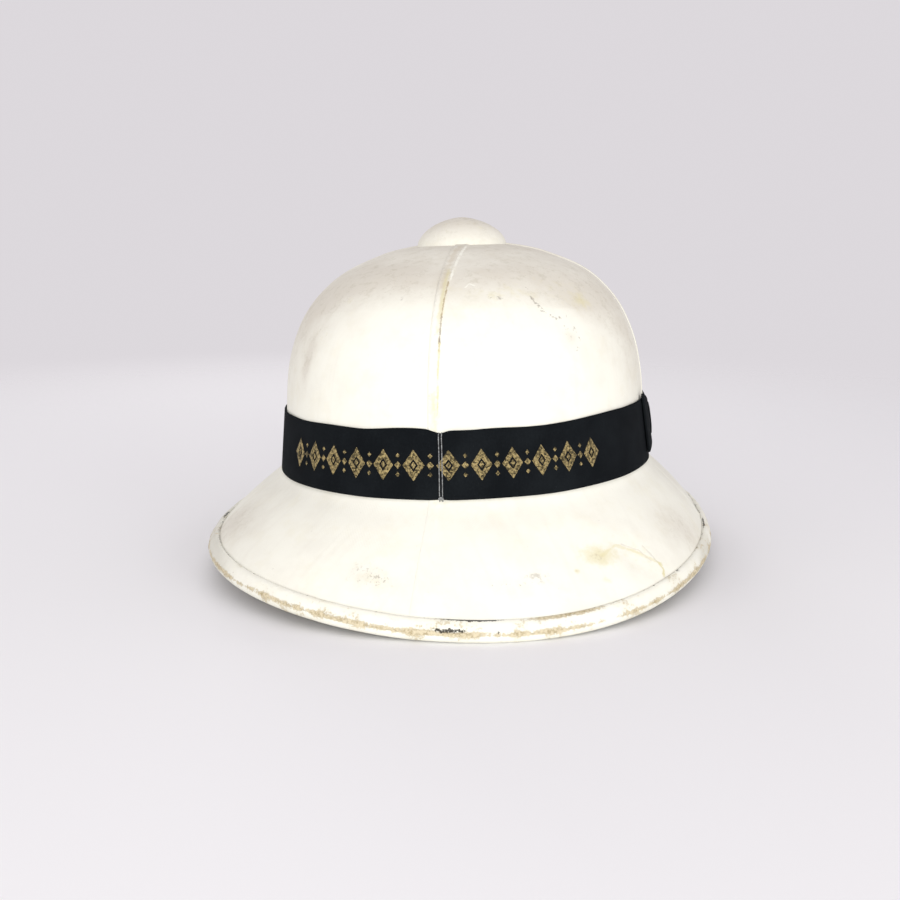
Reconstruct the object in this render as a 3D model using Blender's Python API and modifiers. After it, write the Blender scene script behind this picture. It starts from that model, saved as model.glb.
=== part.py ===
import bpy
import bmesh
import math
from mathutils import Matrix, Vector

# A cork sun helmet with a canvas cover, a ribbon with a bow, and a ventilator button.
# Metres. +X is the wearer's left, the front faces -Y, +Z is up.

# Crown, measured on the cloth
CROWN_HALF_WIDTH = 0.0935       # at the ribbon's top edge
CROWN_HALF_LENGTH = 0.1108
CROWN_RISE = 0.0820             # from the ribbon's top edge to the top of the crown
CROWN_POWER = 2.12              # superellipse power of the crown's plan
BAND_FLARE = 0.0035             # how far the crown widens behind the ribbon
CROWN_LEAN = math.radians(1.8)  # the crown leans this far to the wearer's right

# Ribbon and bow
RIBBON_WIDTH = 0.0310
RIBBON_WALL = 0.0008
BOW_LENGTH = 0.0620             # along the ribbon, over both loops
BOW_HEIGHT = 0.0300             # at the loops' ends
BOW_WAIST = 0.0150              # height of the loops under the knot
BOW_FORWARD = -0.0040           # the knot lies this far behind the widest point
BOW_RAISE = 0.0022              # the knot's middle lies this far above the ribbon's
BOW_TILT = 0.0018               # how much higher the front end stands than the knot
BOW_FOLD = 0.0003               # open space inside a loop
KNOT_WIDTH = 0.0130

# Brim, from the ribbon's bottom edge to the outer line of the binding
BAND_HEIGHT = 0.0459            # ribbon's bottom edge above the brim's front edge
BRIM_SIDE = 0.0332
BRIM_FRONT = 0.0482
BRIM_BACK = 0.0650
EDGE_POWER = 2.26               # superellipse power of the brim's outline
SIDE_LIFT = 0.0090              # how much higher the edge is at the sides
LIFT_POWER = 1.42
BRIM_DROOP = 0.0032             # the edge hangs this much lower at the left front, where it is bent,
                                # and stands as much higher at the right front

# Walls and seams
CORK_WALL = 0.0035
CORK_EDGE_WALL = 0.0022
COVER_WALL = 0.0010
SEAM_WIDTH = 0.0045             # the felled lap that each panel carries
SEAM_RISE = 0.0007
SEAM_STEP = 0.0003              # width of the lap's turned edge
BINDING_WALL = 0.0010
BINDING_FLAP = 0.0065
BINDING_BULGE = 0.0004

# Ventilator
CAP_RADIUS = 0.0232
CAP_HEIGHT = 0.0141
CAP_WALL = 0.0014
CAP_POWER = 1.75
VENT_RADIUS = 0.0090
COLLET_BORE = 0.0065
COLLET_FLANGE = 0.0125
COLLET_PLATE = 0.0010

# Space left between pieces that touch
CLEARANCE = 0.0003

# Sections of the crown from its top to the ribbon's top edge, as shares of the
# crown's rise and of its half-width
CROWN_SECTIONS = [
    {"rise": 1.00, "reach": 0.000},
    {"rise": 0.96, "reach": 0.330},
    {"rise": 0.90, "reach": 0.510},
    {"rise": 0.81, "reach": 0.680},
    {"rise": 0.70, "reach": 0.795},
    {"rise": 0.58, "reach": 0.875},
    {"rise": 0.45, "reach": 0.930},
    {"rise": 0.30, "reach": 0.970},
    {"rise": 0.15, "reach": 0.990},
    {"rise": 0.00, "reach": 1.000},
]

# Sections of the brim from the ribbon's bottom edge to its outer line, as shares of
# the brim's overhang and of its drop
BRIM_SECTIONS = [
    {"out": 0.00, "drop": 0.00},
    {"out": 0.10, "drop": 0.11},
    {"out": 0.32, "drop": 0.29},
    {"out": 0.54, "drop": 0.48},
    {"out": 0.75, "drop": 0.69},
    {"out": 0.90, "drop": 0.87},
    {"out": 1.00, "drop": 1.00},
]

# Dents: the angle in degrees from the front towards the left, the level on the
# surface, and the radius and depth as shares of the brim's front overhang
DENTS = [
    {"angle": 33.0, "level": 2.50, "radius": 0.26, "depth": 0.030},
    {"angle": 46.0, "level": 2.62, "radius": 0.18, "depth": 0.035},
    {"angle": 97.0, "level": 2.25, "radius": 0.55, "depth": 0.055},
]

# Levels run down the surface: 0 is the crown's top, 1 the ribbon's top edge, 2 its
# bottom edge and 3 the brim's outer line
RIBBON_TOP = 1.0
RIBBON_BOTTOM = 2.0
BRIM_LINE = 3.0

PANEL_COLUMNS = 11              # facets of a quarter, between one lap and the next seam
LAP_COLUMNS = (0, 1)            # columns on the raised lap, which starts each panel
BRIM_ROWS = 5                   # rows of facets between the ribbon and the binding
QUARTER = math.pi / 2
PANELS = ["cover_front_left", "cover_back_left", "cover_back_right", "cover_front_right"]


# Tables

def readTable(rows, names, share):
    # A smooth curve through the rows, with share running from 0 to 1
    last = len(rows) - 1
    place = min(max(share, 0.0), 1.0) * last
    start = min(int(place), last - 1)
    t = place - start
    values = []
    for name in names:
        column = [row[name] for row in rows]
        p1, p2 = column[start], column[start + 1]
        p0 = column[start - 1] if start > 0 else 2 * p1 - p2
        p3 = column[start + 2] if start + 2 <= last else 2 * p2 - p1
        values.append(0.5 * (2 * p1 + (p2 - p0) * t
                             + (2 * p0 - 5 * p1 + 4 * p2 - p3) * t * t
                             + (3 * p1 - p0 - 3 * p2 + p3) * t ** 3))
    return values


def crownSection(share):
    # Near the top the curve is mirrored, so that the crown is level there
    top, second = CROWN_SECTIONS[0], CROWN_SECTIONS[1]
    mirrored = {"rise": second["rise"], "reach": -second["reach"]}
    last = len(CROWN_SECTIONS) - 1
    if share * last < 1:
        rows = [mirrored, top, second, CROWN_SECTIONS[2]]
        return readTable(rows, ("rise", "reach"), (1 + share * last) / 3)
    return readTable(CROWN_SECTIONS, ("rise", "reach"), share)


# The cloth's outer surface, from which every piece takes its place

def edgeHeight(angle):
    s, c = math.sin(angle), max(math.cos(angle), 0.0)
    peak = 2 / math.sqrt(27)
    return SIDE_LIFT * abs(s) ** LIFT_POWER - BRIM_DROOP * s * c * c / peak


def ringSizes(level, angle):
    # Half-width, half-length, superellipse power, height and lean of the ring at a level
    if level <= RIBBON_TOP:
        rise, reach = crownSection(level)
        halfWidth = CROWN_HALF_WIDTH * reach
        halfLength = halfWidth + (CROWN_HALF_LENGTH - CROWN_HALF_WIDTH) * reach * abs(reach)
        power = 2 + (CROWN_POWER - 2) * abs(reach)
        height = BAND_HEIGHT + RIBBON_WIDTH + CROWN_RISE * rise
        return halfWidth, halfLength, power, height, CROWN_LEAN
    share = min(level - RIBBON_TOP, 1.0)
    halfWidth = CROWN_HALF_WIDTH + BAND_FLARE * share
    halfLength = CROWN_HALF_LENGTH + BAND_FLARE * share
    height = BAND_HEIGHT + RIBBON_WIDTH * (1 - share)
    if level <= RIBBON_BOTTOM:
        return halfWidth, halfLength, CROWN_POWER, height, CROWN_LEAN
    out, drop = readTable(BRIM_SECTIONS, ("out", "drop"), level - RIBBON_BOTTOM)
    overhang = BRIM_FRONT if math.cos(angle) > 0 else BRIM_BACK
    power = CROWN_POWER + (EDGE_POWER - CROWN_POWER) * out
    height -= (BAND_HEIGHT - edgeHeight(angle)) * drop
    lean = CROWN_LEAN * (1 - out)
    return halfWidth + BRIM_SIDE * out, halfLength + overhang * out, power, height, lean


def leaned(point, lean=CROWN_LEAN):
    # Turned to the wearer's right about the middle of the ribbon's top edge
    pivot = Vector((0.0, 0.0, BAND_HEIGHT + RIBBON_WIDTH))
    return pivot + Matrix.Rotation(-lean, 3, "Y") @ (point - pivot)


def plainPoint(level, angle):
    halfWidth, halfLength, power, height, lean = ringSizes(level, angle)
    s, c = math.sin(angle), math.cos(angle)
    x = halfWidth * math.copysign(abs(s) ** (2 / power), s)
    y = -halfLength * math.copysign(abs(c) ** (2 / power), c)
    return leaned(Vector((x, y, height)), lean)


def plainNormal(level, angle):
    dLevel, dAngle = 0.02, 0.01
    across = plainPoint(level, angle + dAngle) - plainPoint(level, angle - dAngle)
    down = plainPoint(min(level + dLevel, BRIM_LINE), angle) - plainPoint(level - dLevel, angle)
    return down.cross(across).normalized()


DENT_PLACES = [
    (plainPoint(row["level"], math.radians(row["angle"])),
     row["radius"] * BRIM_FRONT, row["depth"] * BRIM_FRONT)
    for row in DENTS
]


def surfacePoint(level, angle, standoff=0.0):
    # A point at a distance outside the cloth, or inside it where standoff is negative
    point = plainPoint(level, angle)
    for place, radius, depth in DENT_PLACES:
        standoff -= depth * math.exp(-((point - place).length / radius) ** 2)
    return point + plainNormal(level, angle) * standoff


def levelAtRadius(radius):
    # The crown's level where its half-width is the radius
    low, high = 0.0, RIBBON_TOP
    for _ in range(40):
        middle = (low + high) / 2
        if CROWN_HALF_WIDTH * crownSection(middle)[1] < radius:
            low = middle
        else:
            high = middle
    return high


def brimSlant(angle):
    return (plainPoint(BRIM_LINE, angle) - plainPoint(RIBBON_BOTTOM, angle)).length


def levelFromEdge(angle, inset):
    # The brim's level at a distance inside its outer line
    return BRIM_LINE - inset / brimSlant(angle)


# Columns shared by the cork, the cover and the ribbon

def seamAngle(level, quarter, offset):
    # The angle at a distance past a seam; seams lie at the front, left, back and right
    halfWidth, halfLength, power = ringSizes(level, quarter * QUARTER)[:3]
    size = halfWidth if quarter % 2 == 0 else halfLength
    share = min(abs(offset) / size, 1.0)
    return quarter * QUARTER + math.copysign(math.asin(share ** (power / 2)), offset)


def panelColumns(level, quarter):
    # From the lap's outer edge to the facet column before the next lap
    start = seamAngle(level, quarter, SEAM_WIDTH / 2)
    end = seamAngle(level, quarter + 1, -SEAM_WIDTH / 2)
    columns = [seamAngle(level, quarter, -SEAM_WIDTH / 2),
               seamAngle(level, quarter, SEAM_WIDTH / 2 - SEAM_STEP)]
    for i in range(PANEL_COLUMNS):
        columns.append(start + (end - start) * i / PANEL_COLUMNS)
    return columns


def allColumns(level):
    return [angle for quarter in range(4) for angle in panelColumns(level, quarter)]


# Rows

STACK_EDGE = COVER_WALL + CLEARANCE + CORK_EDGE_WALL      # cloth and cork at the brim's edge
NOSE_RADIUS = STACK_EDGE / 2 + CLEARANCE                  # inside of the binding's roll
CLOTH_INSET = NOSE_RADIUS + BINDING_WALL                  # the cloth ends this far inside


def crownLevels():
    levels = [levelAtRadius(VENT_RADIUS), levelAtRadius(CAP_RADIUS)]
    last = len(CROWN_SECTIONS) - 1
    return levels + [i / last for i in range(1, last + 1)]


def brimLevels(angle):
    # Evenly down to the binding's flap, then to the end of the cloth
    flap = levelFromEdge(angle, BINDING_FLAP)
    levels = [RIBBON_BOTTOM + (flap - RIBBON_BOTTOM) * (i + 1) / BRIM_ROWS for i in range(BRIM_ROWS)]
    return levels + [levelFromEdge(angle, CLOTH_INSET)]


def rowPoints(columnsAt, standoff):
    # Every row of a piece that runs from the vent hole to the brim's edge
    rows = []
    for level in crownLevels() + [RIBBON_BOTTOM]:
        rows.append([surfacePoint(level, angle, standoff) for angle in columnsAt(level)])
    for i in range(BRIM_ROWS + 1):
        angles = columnsAt(RIBBON_BOTTOM + (i + 1) / (BRIM_ROWS + 1))
        rows.append([surfacePoint(brimLevels(angle)[i], angle, standoff) for angle in angles])
    return rows


# Objects

helmet = bpy.data.collections.new("pith_helmet")


def makeMaterial(name, colour, roughness, metallic=0.0):
    material = bpy.data.materials.new(name)
    material.use_nodes = True
    shader = material.node_tree.nodes["Principled BSDF"]
    shader.inputs["Base Color"].default_value = (*colour, 1.0)
    shader.inputs["Roughness"].default_value = roughness
    shader.inputs["Metallic"].default_value = metallic
    material.diffuse_color = (*colour, 1.0)
    return material


def addObject(name, mesh, material):
    item = bpy.data.objects.new(name, mesh)
    mesh.materials.append(material)
    mesh.shade_smooth()
    mesh.set_sharp_from_angle(angle=math.radians(50))
    helmet.objects.link(item)
    item.parent = stand
    return item


def makeLoft(name, rows, material, closed=False):
    # Quads between rows of points; rows run down and columns turn to the left
    mesh = bpy.data.meshes.new(name)
    bm = bmesh.new()
    grid = [[bm.verts.new(point) for point in row] for row in rows]
    columns = len(rows[0])
    for upper, lower in zip(grid, grid[1:]):
        for j in range(columns if closed else columns - 1):
            k = (j + 1) % columns
            bm.faces.new((upper[j], lower[j], lower[k], upper[k]))
    bm.to_mesh(mesh)
    bm.free()
    return addObject(name, mesh, material)


def addWall(item, wall, offset, thinWall=None, thickPoints=()):
    # Solidify; with a thin wall, only the thick points get the full wall
    solidify = item.modifiers.new("wall", "SOLIDIFY")
    solidify.thickness = wall
    solidify.offset = offset
    solidify.use_even_offset = True
    solidify.use_rim = True
    if thinWall is not None:
        group = item.vertex_groups.new(name="thick")
        for index, weight in thickPoints:
            group.add([index], weight, "REPLACE")
        solidify.vertex_group = group.name
        solidify.thickness_vertex_group = thinWall / wall


def makeTurned(name, profile, steps, material, closed):
    # A profile at +X, running down its outer side, turned about Z
    mesh = bpy.data.meshes.new(name)
    count = len(profile)
    edges = [(i, i + 1) for i in range(count - 1)]
    if closed:
        edges.append((count - 1, 0))
    mesh.from_pydata([(r, 0.0, z) for r, z in profile], edges, [])
    item = addObject(name, mesh, material)
    item.location = leaned(Vector())
    item.rotation_euler = (0.0, -CROWN_LEAN, 0.0)
    screw = item.modifiers.new("turn", "SCREW")
    screw.steps = steps
    screw.render_steps = steps
    screw.use_merge_vertices = True
    screw.merge_threshold = 0.00002
    screw.use_smooth_shade = True
    return item


# Cork body and cover

def makeCork(material):
    rows = rowPoints(allColumns, -COVER_WALL - CLEARANCE)
    cork = makeLoft("cork_shell", rows, material, closed=True)
    columns = len(rows[0])
    first = len(rows) - BRIM_ROWS - 1
    thick = []
    for i in range(len(rows)):
        weight = 1.0 - min(max((i - first + 1) / BRIM_ROWS, 0.0), 1.0)
        thick += [(i * columns + j, weight) for j in range(columns)]
    addWall(cork, CORK_WALL, -1, CORK_EDGE_WALL, thick)


def makePanel(quarter, material):
    def columnsAt(level):
        end = seamAngle(level, quarter + 1, -SEAM_WIDTH / 2 - CLEARANCE)
        return panelColumns(level, quarter) + [end]
    rows = rowPoints(columnsAt, -COVER_WALL)
    panel = makeLoft(PANELS[quarter], rows, material)
    columns = len(rows[0])
    # The lap is flat under the button, the ribbon and the binding
    ribbonRow = len(crownLevels()) - 1
    flat = [0, 1, ribbonRow, ribbonRow + 1, len(rows) - 2, len(rows) - 1]
    thick = [(i * columns + j, 1.0) for i in range(len(rows)) if i not in flat
             for j in LAP_COLUMNS]
    addWall(panel, COVER_WALL + SEAM_RISE, 1, COVER_WALL, thick)


# Binding round the brim's edge

def bindingPath():
    # Distance past the cloth's end and height over the cloth, on the binding's inner side
    over = CLEARANCE
    under = -STACK_EDGE - CLEARANCE
    middle = (over + under) / 2
    flap = BINDING_FLAP - CLOTH_INSET
    path = [(-flap, over), (-flap / 2, over + BINDING_BULGE)]
    noseSteps = 4
    for i in range(noseSteps + 1):
        turn = math.pi * i / noseSteps
        path.append((NOSE_RADIUS * math.sin(turn), middle + (over - middle) * math.cos(turn)))
    path.append((-flap, under))
    return path


def makeBinding(material):
    rows = []
    for past, over in bindingPath():
        row = []
        for angle in allColumns(BRIM_LINE):
            end = levelFromEdge(angle, CLOTH_INSET)
            back = levelFromEdge(angle, BINDING_FLAP)
            top = surfacePoint(end, angle)
            slope = (top - surfacePoint(back, angle)).normalized()
            row.append(top + slope * past + plainNormal(end, angle) * over)
        rows.append(row)
    binding = makeLoft("brim_binding", rows, material, closed=True)
    addWall(binding, BINDING_WALL, 1)


# Ribbon and bow

def makeRibbon(material):
    rows = [[surfacePoint(level, angle, CLEARANCE) for angle in allColumns(level)]
            for level in (RIBBON_TOP, RIBBON_BOTTOM)]
    ribbon = makeLoft("hat_ribbon", rows, material, closed=True)
    addWall(ribbon, RIBBON_WALL, 1)


def ribbonPoint(along, height, standoff):
    # A point on the wearer's left: along is measured forwards from the widest point,
    # height above the ribbon's middle, and standoff from the ribbon's outer face
    share = 0.5 - height / RIBBON_WIDTH
    halfWidth = CROWN_HALF_WIDTH + BAND_FLARE * share
    halfLength = CROWN_HALF_LENGTH + BAND_FLARE * share
    z = BAND_HEIGHT + RIBBON_WIDTH * (1 - share)
    y = -along
    x = halfWidth * (1 - abs(y / halfLength) ** CROWN_POWER) ** (1 / CROWN_POWER)
    normal = Vector((abs(x / halfWidth) ** (CROWN_POWER - 1) / halfWidth,
                     math.copysign(abs(y / halfLength) ** (CROWN_POWER - 1), y) / halfLength,
                     BAND_FLARE / RIBBON_WIDTH / halfWidth)).normalized()
    face = CLEARANCE + RIBBON_WALL
    return leaned(Vector((x, y, z)) + normal * (face + standoff))


def makeBowLoop(name, side, material):
    # A strip that leaves the knot along the ribbon, turns at the loop's end and comes
    # back; the rows lie on its outside and the wall goes inwards
    inner = CLEARANCE
    turn = RIBBON_WALL + BOW_FOLD / 2
    knotEdge = KNOT_WIDTH / 2 + CLEARANCE
    length = BOW_LENGTH / 2 - turn
    stretches = 4
    outs = [CLEARANCE / 2] + [knotEdge + (length - knotEdge) * i / stretches
                              for i in range(stretches + 1)]
    path = [(out, inner) for out in outs]
    path.append((length + turn, inner + turn))
    path += [(out, inner + 2 * turn) for out in reversed(outs)]
    rows = []
    for share in (0.5, 0.17, -0.17, -0.5):
        row = []
        for out, standoff in path:
            opened = min(max((out - knotEdge) / (length - knotEdge), 0.0), 1.0)
            height = BOW_WAIST + (BOW_HEIGHT - BOW_WAIST) * opened ** 0.7
            rise = BOW_RAISE + side * BOW_TILT * opened
            row.append(ribbonPoint(BOW_FORWARD + side * out, share * height + rise, standoff))
        rows.append(row if side > 0 else row[::-1])
    loop = makeLoft(name, rows, material)
    addWall(loop, RIBBON_WALL, -1)


def makeKnot(material):
    # A strap over both loops, with its ends turned down to the ribbon
    over = 2 * CLEARANCE + 2 * RIBBON_WALL + BOW_FOLD
    half = BOW_WAIST / 2 + CLEARANCE
    path = [(half, CLEARANCE), (half, over), (0.0, over + CLEARANCE),
            (-half, over), (-half, CLEARANCE)]
    rows = []
    for height, standoff in path:
        rows.append([ribbonPoint(BOW_FORWARD - share * KNOT_WIDTH, BOW_RAISE + height, standoff)
                     for share in (-0.5, 0.0, 0.5)])
    knot = makeLoft("bow_knot", rows, material)
    addWall(knot, RIBBON_WALL, 1)


# Ventilator

def capDome(radius, height, r):
    return height * (1 - min(r / radius, 1.0) ** CAP_POWER) ** (1 / CAP_POWER)


def makeVentilator(clothMaterial, metalMaterial):
    rim = levelAtRadius(CAP_RADIUS)
    seat = leaned(surfacePoint(rim, 0.0), -CROWN_LEAN).z + CLEARANCE
    steps = 8
    turns = [QUARTER * i / steps for i in range(steps + 1)]
    outer = [(CAP_RADIUS * math.sin(turn) ** (2 / CAP_POWER),
              seat + CAP_HEIGHT * math.cos(turn) ** (2 / CAP_POWER)) for turn in turns]
    share = 1 - CAP_WALL / CAP_RADIUS
    inner = [(r * share, seat + (z - seat) * (1 - CAP_WALL / CAP_HEIGHT)) for r, z in outer]
    outer[0] = (0.0, outer[0][1])
    inner[0] = (0.0, inner[0][1])
    outer[-1] = (CAP_RADIUS, seat)
    inner[-1] = (CAP_RADIUS - CAP_WALL, seat)
    makeTurned("vent_cap", outer + inner[::-1], 24, clothMaterial, closed=False)

    # The hole is narrowest at the cork's inner side, across the flat facet of a lap
    under = -COVER_WALL - CLEARANCE - CORK_WALL
    hole = leaned(surfacePoint(levelAtRadius(VENT_RADIUS), QUARTER, under), -CROWN_LEAN).x
    tube = hole - SEAM_WIDTH ** 2 / (8 * VENT_RADIUS) - CLEARANCE
    ceiling = seat + capDome(CAP_RADIUS - CAP_WALL, CAP_HEIGHT - CAP_WALL, tube)
    flangeSeat = surfacePoint(levelAtRadius(COLLET_FLANGE), 0.0, under)
    plateTop = leaned(flangeSeat, -CROWN_LEAN).z - CLEARANCE
    profile = [
        (COLLET_BORE, ceiling - CLEARANCE),
        (tube, ceiling - CLEARANCE),
        (tube, plateTop),
        (COLLET_FLANGE, plateTop),
        (COLLET_FLANGE, plateTop - COLLET_PLATE),
        (COLLET_BORE, plateTop - COLLET_PLATE),
    ]
    makeTurned("vent_collet", profile, 20, metalMaterial, closed=True)


# Scene

def placeOnGround():
    # The brim's lowest point is put at z = 0 and the outline's middle at x = y = 0
    bpy.context.view_layer.update()
    graph = bpy.context.evaluated_depsgraph_get()
    binding = bpy.data.objects["brim_binding"].evaluated_get(graph)
    points = [binding.matrix_world @ Vector(corner) for corner in binding.bound_box]
    low = [min(point[i] for point in points) for i in range(3)]
    high = [max(point[i] for point in points) for i in range(3)]
    stand.location = (-(low[0] + high[0]) / 2, -(low[1] + high[1]) / 2, -low[2])


for old in list(bpy.data.objects):
    bpy.data.objects.remove(old)

bpy.context.scene.collection.children.link(helmet)
stand = bpy.data.objects.new("helmet_place", None)
helmet.objects.link(stand)

cork = makeMaterial("cork", (0.62, 0.47, 0.31), 0.9)
canvas = makeMaterial("white_canvas", (0.88, 0.87, 0.83), 0.85)
bindingCloth = makeMaterial("white_binding", (0.85, 0.83, 0.76), 0.7)
silk = makeMaterial("navy_silk", (0.010, 0.012, 0.020), 0.5)
zinc = makeMaterial("zinc", (0.55, 0.56, 0.57), 0.45, 1.0)

makeCork(cork)
for quarter in range(4):
    makePanel(quarter, canvas)
makeBinding(bindingCloth)
makeRibbon(silk)
makeBowLoop("bow_loop_front", 1, silk)
makeBowLoop("bow_loop_back", -1, silk)
makeKnot(silk)
makeVentilator(canvas, zinc)
placeOnGround()
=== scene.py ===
import bpy
import math
import numpy as np
from mathutils import Matrix, Vector, noise


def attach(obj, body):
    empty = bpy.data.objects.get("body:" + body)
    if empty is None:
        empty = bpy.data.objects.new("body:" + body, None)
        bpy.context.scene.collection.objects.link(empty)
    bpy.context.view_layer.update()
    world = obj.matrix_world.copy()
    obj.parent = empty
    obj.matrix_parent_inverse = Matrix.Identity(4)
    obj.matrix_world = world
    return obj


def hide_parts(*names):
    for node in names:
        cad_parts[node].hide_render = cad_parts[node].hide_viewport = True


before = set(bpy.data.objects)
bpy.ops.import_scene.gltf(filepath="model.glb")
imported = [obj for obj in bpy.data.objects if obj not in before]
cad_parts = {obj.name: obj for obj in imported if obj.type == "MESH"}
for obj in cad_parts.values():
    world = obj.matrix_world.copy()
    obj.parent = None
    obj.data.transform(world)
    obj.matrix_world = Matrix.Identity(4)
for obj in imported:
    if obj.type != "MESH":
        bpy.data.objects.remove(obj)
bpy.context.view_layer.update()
print("frame loaded:", len(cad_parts), "nodes")

# The helmet's form, with the CAD model's own sizes, in metres.
# +X is the wearer's left, the front faces -Y, +Z is up.
# Levels run down the cloth: 0 at the crown's top, 1 and 2 at the ribbon's edges, 3 at the
# brim's edge. Angles run round it from the front towards the left.
form = {
    "seat": (0.00005, -0.00841, 0.00322),   # the crown's axis at the height of the brim's front edge
    "crownHalfWidth": 0.0935,               # at the ribbon's top edge
    "crownHalfLength": 0.1108,
    "crownRise": 0.0820,                    # from the ribbon's top edge to the crown's top
    "crownPower": 2.12,                     # superellipse power of the crown's plan
    "bandFlare": 0.0035,                    # how far the crown widens behind the ribbon
    "bandHeight": 0.0459,                   # the ribbon's bottom edge above the brim's front
    "ribbonWidth": 0.0310,
    "lean": math.radians(1.8),              # towards the wearer's right
    "brimSide": 0.0332,
    "brimFront": 0.0482,
    "brimBack": 0.0650,
    "edgePower": 2.26,                      # superellipse power of the brim's outline
    "sideLift": 0.0090,                     # how much higher the edge is at the sides
    "liftPower": 1.42,
    "droop": 0.0032,                        # how far the left front hangs and the right front rises
    "clearance": 0.0003,
}
# Share of the crown's rise and of its half-width, from the top down to the ribbon
crownSections = [(1.00, 0.000), (0.96, 0.330), (0.90, 0.510), (0.81, 0.680), (0.70, 0.795),
                 (0.58, 0.875), (0.45, 0.930), (0.30, 0.970), (0.15, 0.990), (0.00, 1.000)]
# Share of the brim's way out and down
brimSections = [(0.00, 0.00), (0.10, 0.11), (0.32, 0.29), (0.54, 0.48),
                (0.75, 0.69), (0.90, 0.87), (1.00, 1.00)]
dents = [  # degrees from the front towards the left, level, radius and depth
    {"angle": 33, "level": 2.50, "radius": 0.0125, "depth": 0.00145},
    {"angle": 46, "level": 2.62, "radius": 0.0087, "depth": 0.00169},
    {"angle": 97, "level": 2.25, "radius": 0.0265, "depth": 0.00265},
]
quarter = math.pi / 2


def curveThrough(rows, share, levelStart=False):
    # A smooth curve through evenly spaced rows
    rows = np.array(rows)
    last = len(rows) - 1
    before = rows[1] * (1, -1) if levelStart else 2 * rows[0] - rows[1]
    rows = np.vstack([before, rows, 2 * rows[-1] - rows[-2]])
    place = np.clip(share, 0, 1) * last
    start = np.minimum(place.astype(int), last - 1)
    t = (place - start)[..., None]
    p0, p1, p2, p3 = (rows[start + k] for k in range(4))
    curve = 0.5 * (2 * p1 + (p2 - p0) * t + (2 * p0 - 5 * p1 + 4 * p2 - p3) * t ** 2
                   + (3 * p1 - p0 - 3 * p2 + p3) * t ** 3)
    return curve[..., 0], curve[..., 1]


def ringAt(level):
    # Half-width, half-length, power, height, and the brim's share out and down
    rise, reach = curveThrough(crownSections, level, levelStart=True)
    out, drop = curveThrough(brimSections, level - 2)
    band = np.clip(level - 1, 0, 1)
    halfWidth = form["crownHalfWidth"] * reach + form["bandFlare"] * band
    longer = form["crownHalfLength"] - form["crownHalfWidth"]
    halfLength = halfWidth + longer * reach * abs(reach)
    power = 2 + (form["crownPower"] - 2) * abs(reach)
    power = power + (form["edgePower"] - form["crownPower"]) * out
    height = form["bandHeight"] + form["ribbonWidth"] * (1 - band) + form["crownRise"] * rise
    return halfWidth, halfLength, power, height, out, drop


def edgeHeight(angle):
    # The largest value of s * c * c, where the edge is bent most, is 0.3849
    s, c = np.sin(angle), np.maximum(np.cos(angle), 0)
    return form["sideLift"] * abs(s) ** form["liftPower"] - form["droop"] * s * c * c / 0.3849


def leaned(points, lean):
    pivot = form["bandHeight"] + form["ribbonWidth"]
    x, y, z = points[..., 0], points[..., 1], points[..., 2] - pivot
    return np.stack([x * np.cos(lean) - z * np.sin(lean), y,
                     x * np.sin(lean) + z * np.cos(lean) + pivot], axis=-1)


def smoothPoints(level, angle):
    level, angle = np.broadcast_arrays(np.asarray(level, float), np.asarray(angle, float))
    halfWidth, halfLength, power, height, out, drop = ringAt(level)
    s, c = np.sin(angle), np.cos(angle)
    overhang = np.where(c > 0, form["brimFront"], form["brimBack"])
    x = (halfWidth + form["brimSide"] * out) * np.sign(s) * abs(s) ** (2 / power)
    y = -(halfLength + overhang * out) * np.sign(c) * abs(c) ** (2 / power)
    z = height - (form["bandHeight"] - edgeHeight(angle)) * drop
    return leaned(np.stack([x, y, z], axis=-1), form["lean"] * (1 - out)) + form["seat"]


def unit(vectors):
    return vectors / np.linalg.norm(vectors, axis=-1, keepdims=True)


def outwardAt(level, angle):
    level = np.asarray(level, float)
    across = smoothPoints(level, angle + 0.01) - smoothPoints(level, angle - 0.01)
    down = smoothPoints(np.minimum(level + 0.02, 3), angle) - smoothPoints(level - 0.02, angle)
    return unit(np.cross(down, across))


dentPlaces = [(smoothPoints(row["level"], math.radians(row["angle"])), row["radius"], row["depth"])
              for row in dents]


def clothPoints(level, angle, standoff=0.0):
    # Points at a distance outside the cloth's smooth face, dents included
    points = smoothPoints(level, angle)
    pressed = np.zeros(points.shape[:-1])
    for place, radius, depth in dentPlaces:
        pressed += depth * np.exp(-(np.linalg.norm(points - place, axis=-1) / radius) ** 2)
    return points + outwardAt(level, angle) * (standoff - pressed)[..., None]


def seamAngle(level, seam, offset):
    # The angle at a distance past a seam; seams lie at the front, left, back and right
    halfWidth, halfLength, power, _, out, _ = ringAt(np.asarray(level, float))
    size = halfWidth if seam % 2 == 0 else halfLength
    return seam * quarter + np.sign(offset) * np.arcsin(np.minimum(abs(offset) / size, 1) ** (power / 2))


def levelFromEdge(angle, inset):
    slant = np.linalg.norm(smoothPoints(3, angle) - smoothPoints(2, angle), axis=-1)
    return 3 - inset / slant


def wander(points, size, seed):
    # Smooth noise from -1 to 1, with bumps of the given size in metres
    flat = points.reshape(-1, 3) / size
    values = [noise.noise(Vector(p) + Vector((seed * 7.3, seed * 3.1, seed * 5.7))) for p in flat]
    return np.array(values).reshape(points.shape[:-1])


# Shader maths

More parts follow.
